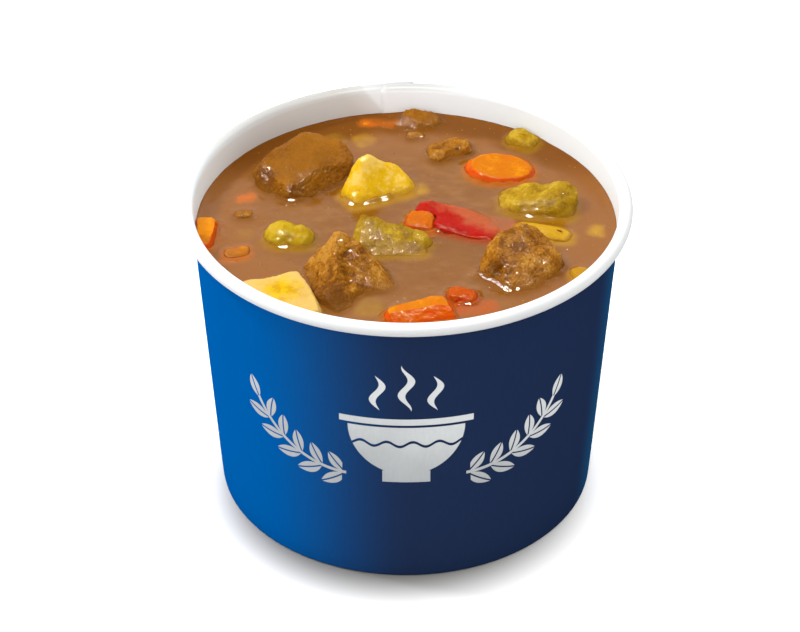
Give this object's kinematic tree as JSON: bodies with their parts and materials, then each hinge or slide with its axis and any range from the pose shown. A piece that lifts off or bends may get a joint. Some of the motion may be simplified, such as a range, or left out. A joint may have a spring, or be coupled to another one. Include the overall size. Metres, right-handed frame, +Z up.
{
  "type": "vegetable beef soup in a paper cup",
  "caption": "Vegetable beef soup served in a round tapered paper cup with a rolled rim: beef, potato, carrot, celery, bean and red pepper pieces standing out of brown broth.",
  "frame": {"origin": "centre of the cup's foot, on the surface that it stands on", "axes": "+Z up along the cup's axis, +Y towards the back of the cup as it is served, +X to the right"},
  "size_m": [0.106, 0.106, 0.0791],
  "materials": {
    "cup_print": "coated paper board printed blue outside, white inside and on the rolled rim, satin",
    "base_board": "uncoated white paper board, matt",
    "broth": "thick brown gravy-like broth, wet, with fine fat droplets",
    "beef": "braised beef, fibrous, wet",
    "potato": "boiled yellow potato, smooth, wet",
    "carrot": "boiled carrot, smooth, wet",
    "greens": "stewed celery and bean, ribbed, olive yellow, wet",
    "pepper": "stewed red pepper, glossy skin"
  },
  "bodies": {
    "root": {"cup_wall": "cup_print", "cup_base": "base_board", "beef_front": "beef", "beef_right": "beef", "beef_back_left": "beef", "beef_back": "beef", "beef_back_middle": "beef", "potato_centre": "potato", "potato_front_left": "potato", "potato_right": "potato", "potato_front_right": "potato", "carrot_right": "carrot", "carrot_front": "carrot", "carrot_left": "carrot", "carrot_centre": "carrot", "carrot_bit_left": "carrot", "red_pepper": "pepper", "red_pepper_front": "pepper", "celery_centre": "greens", "celery_right": "greens", "celery_back": "greens", "bean_left": "greens", "beef_bit_back": "beef", "beef_bit_left": "beef", "broth": "broth"}
  },
  "joints": []
}
